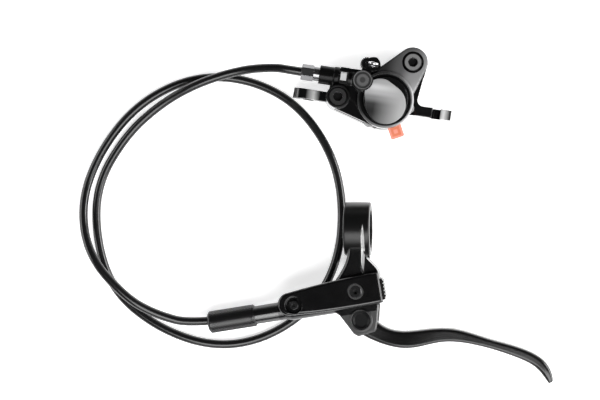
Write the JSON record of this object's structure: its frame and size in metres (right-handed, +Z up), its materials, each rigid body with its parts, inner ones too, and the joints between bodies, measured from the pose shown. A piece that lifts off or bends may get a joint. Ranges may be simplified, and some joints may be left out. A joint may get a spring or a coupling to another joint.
{
  "type": "hydraulic disc brake",
  "caption": "Bicycle hydraulic disc brake: lever with master cylinder and bar clamp, hose in a loose loop, and a two-piece post-mount caliper with its pads.",
  "frame": {"origin": "middle of the object without its hose, on the table it lies on", "axes": "+X along the lever blade towards its tip, +Y from the lever to the caliper, +Z up from the table, towards the reservoir lid and the caliper dome"},
  "size_m": [0.2721, 0.1904, 0.037],
  "materials": {
    "cast_black": "satin black paint on cast aluminium",
    "lid_black": "semi-gloss black moulding",
    "blade_black": "semi-gloss black paint on forged aluminium",
    "screw_black": "black-finished steel",
    "steel": "plain turned steel",
    "dark_steel": "dark plated steel",
    "boot_rubber": "knurled matt black rubber",
    "hose_black": "smooth semi-gloss black hose jacket",
    "seal_rubber": "matt black rubber",
    "brass": "plain brass",
    "pad_steel": "plain sheet steel",
    "friction": "rough sintered compound",
    "piston_ceramic": "fine off-white ceramic",
    "spacer_plastic": "translucent salmon red moulding",
    "bush_plastic": "plain grey bearing plastic"
  },
  "bodies": {
    "brake_body": {"lever_body": "cast_black", "reservoir_lid": "lid_black", "reservoir_diaphragm": "seal_rubber", "lid_screw": "screw_black", "bleed_screw": "screw_black", "bleed_screw_seal": "seal_rubber", "clamp_bolt": "screw_black", "pivot_axle": "screw_black", "pivot_clip": "steel", "slot_dust_cover": "boot_rubber", "piston_spring": "steel", "piston_snap_ring": "steel", "hose_boot": "boot_rubber", "lever_connecting_bolt": "dark_steel", "lever_olive": "brass", "lever_hose_insert": "steel", "caliper_outer_half": "cast_black", "caliper_inner_half": "cast_black", "body_bolts": "screw_black", "outer_piston_seal": "seal_rubber", "inner_piston_seal": "seal_rubber", "pad_spacer": "spacer_plastic", "pad_spring": "steel", "pad_pin": "steel", "bleed_nipple": "dark_steel", "nipple_cap": "seal_rubber", "passage_o_ring": "seal_rubber", "caliper_connecting_bolt": "dark_steel", "caliper_olive": "brass", "caliper_hose_insert": "steel", "brake_hose": "hose_black"},
    "blade": {"lever_blade": "blade_black", "reach_screw": "screw_black", "pivot_bushes": "bush_plastic"},
    "piston_train": {"push_rod": "steel", "master_piston": "bush_plastic", "primary_cup": "seal_rubber", "secondary_seal": "seal_rubber"},
    "outer_pad": {"outer_piston": "piston_ceramic", "outer_pad_plate": "pad_steel", "outer_pad_friction": "friction"},
    "inner_pad": {"inner_piston": "piston_ceramic", "inner_pad_plate": "pad_steel", "inner_pad_friction": "friction"}
  },
  "joints": [
    {"name": "lever_pivot", "type": "hinge", "parent": "brake_body", "child": "blade", "pos_m": [-0.00927, -0.06019, 0.01909], "axis": [-0.1219, 0, 0.9925], "range_deg": [0, 25], "stiffness_Nm_per_rad": 0.3},
    {"name": "piston_stroke", "type": "slide", "parent": "brake_body", "child": "piston_train", "axis": [-0.9789, -0.165, -0.1202], "range_m": [0, 0.005], "deforming": ["piston_spring"]},
    {"name": "outer_pad_stroke", "type": "slide", "parent": "brake_body", "child": "outer_pad", "axis": [0, 0, -1], "range_m": [0, 0.000351]},
    {"name": "inner_pad_stroke", "type": "slide", "parent": "brake_body", "child": "inner_pad", "axis": [0, 0, 1], "range_m": [0, 0.000351]}
  ],
  "couplings": [
    {"joint": "piston_stroke", "follows": "lever_pivot", "m_per_rad": 0.011429},
    {"joint": "outer_pad_stroke", "follows": "lever_pivot", "m_per_rad": 0.00080214},
    {"joint": "inner_pad_stroke", "follows": "lever_pivot", "m_per_rad": 0.00080214}
  ]
}
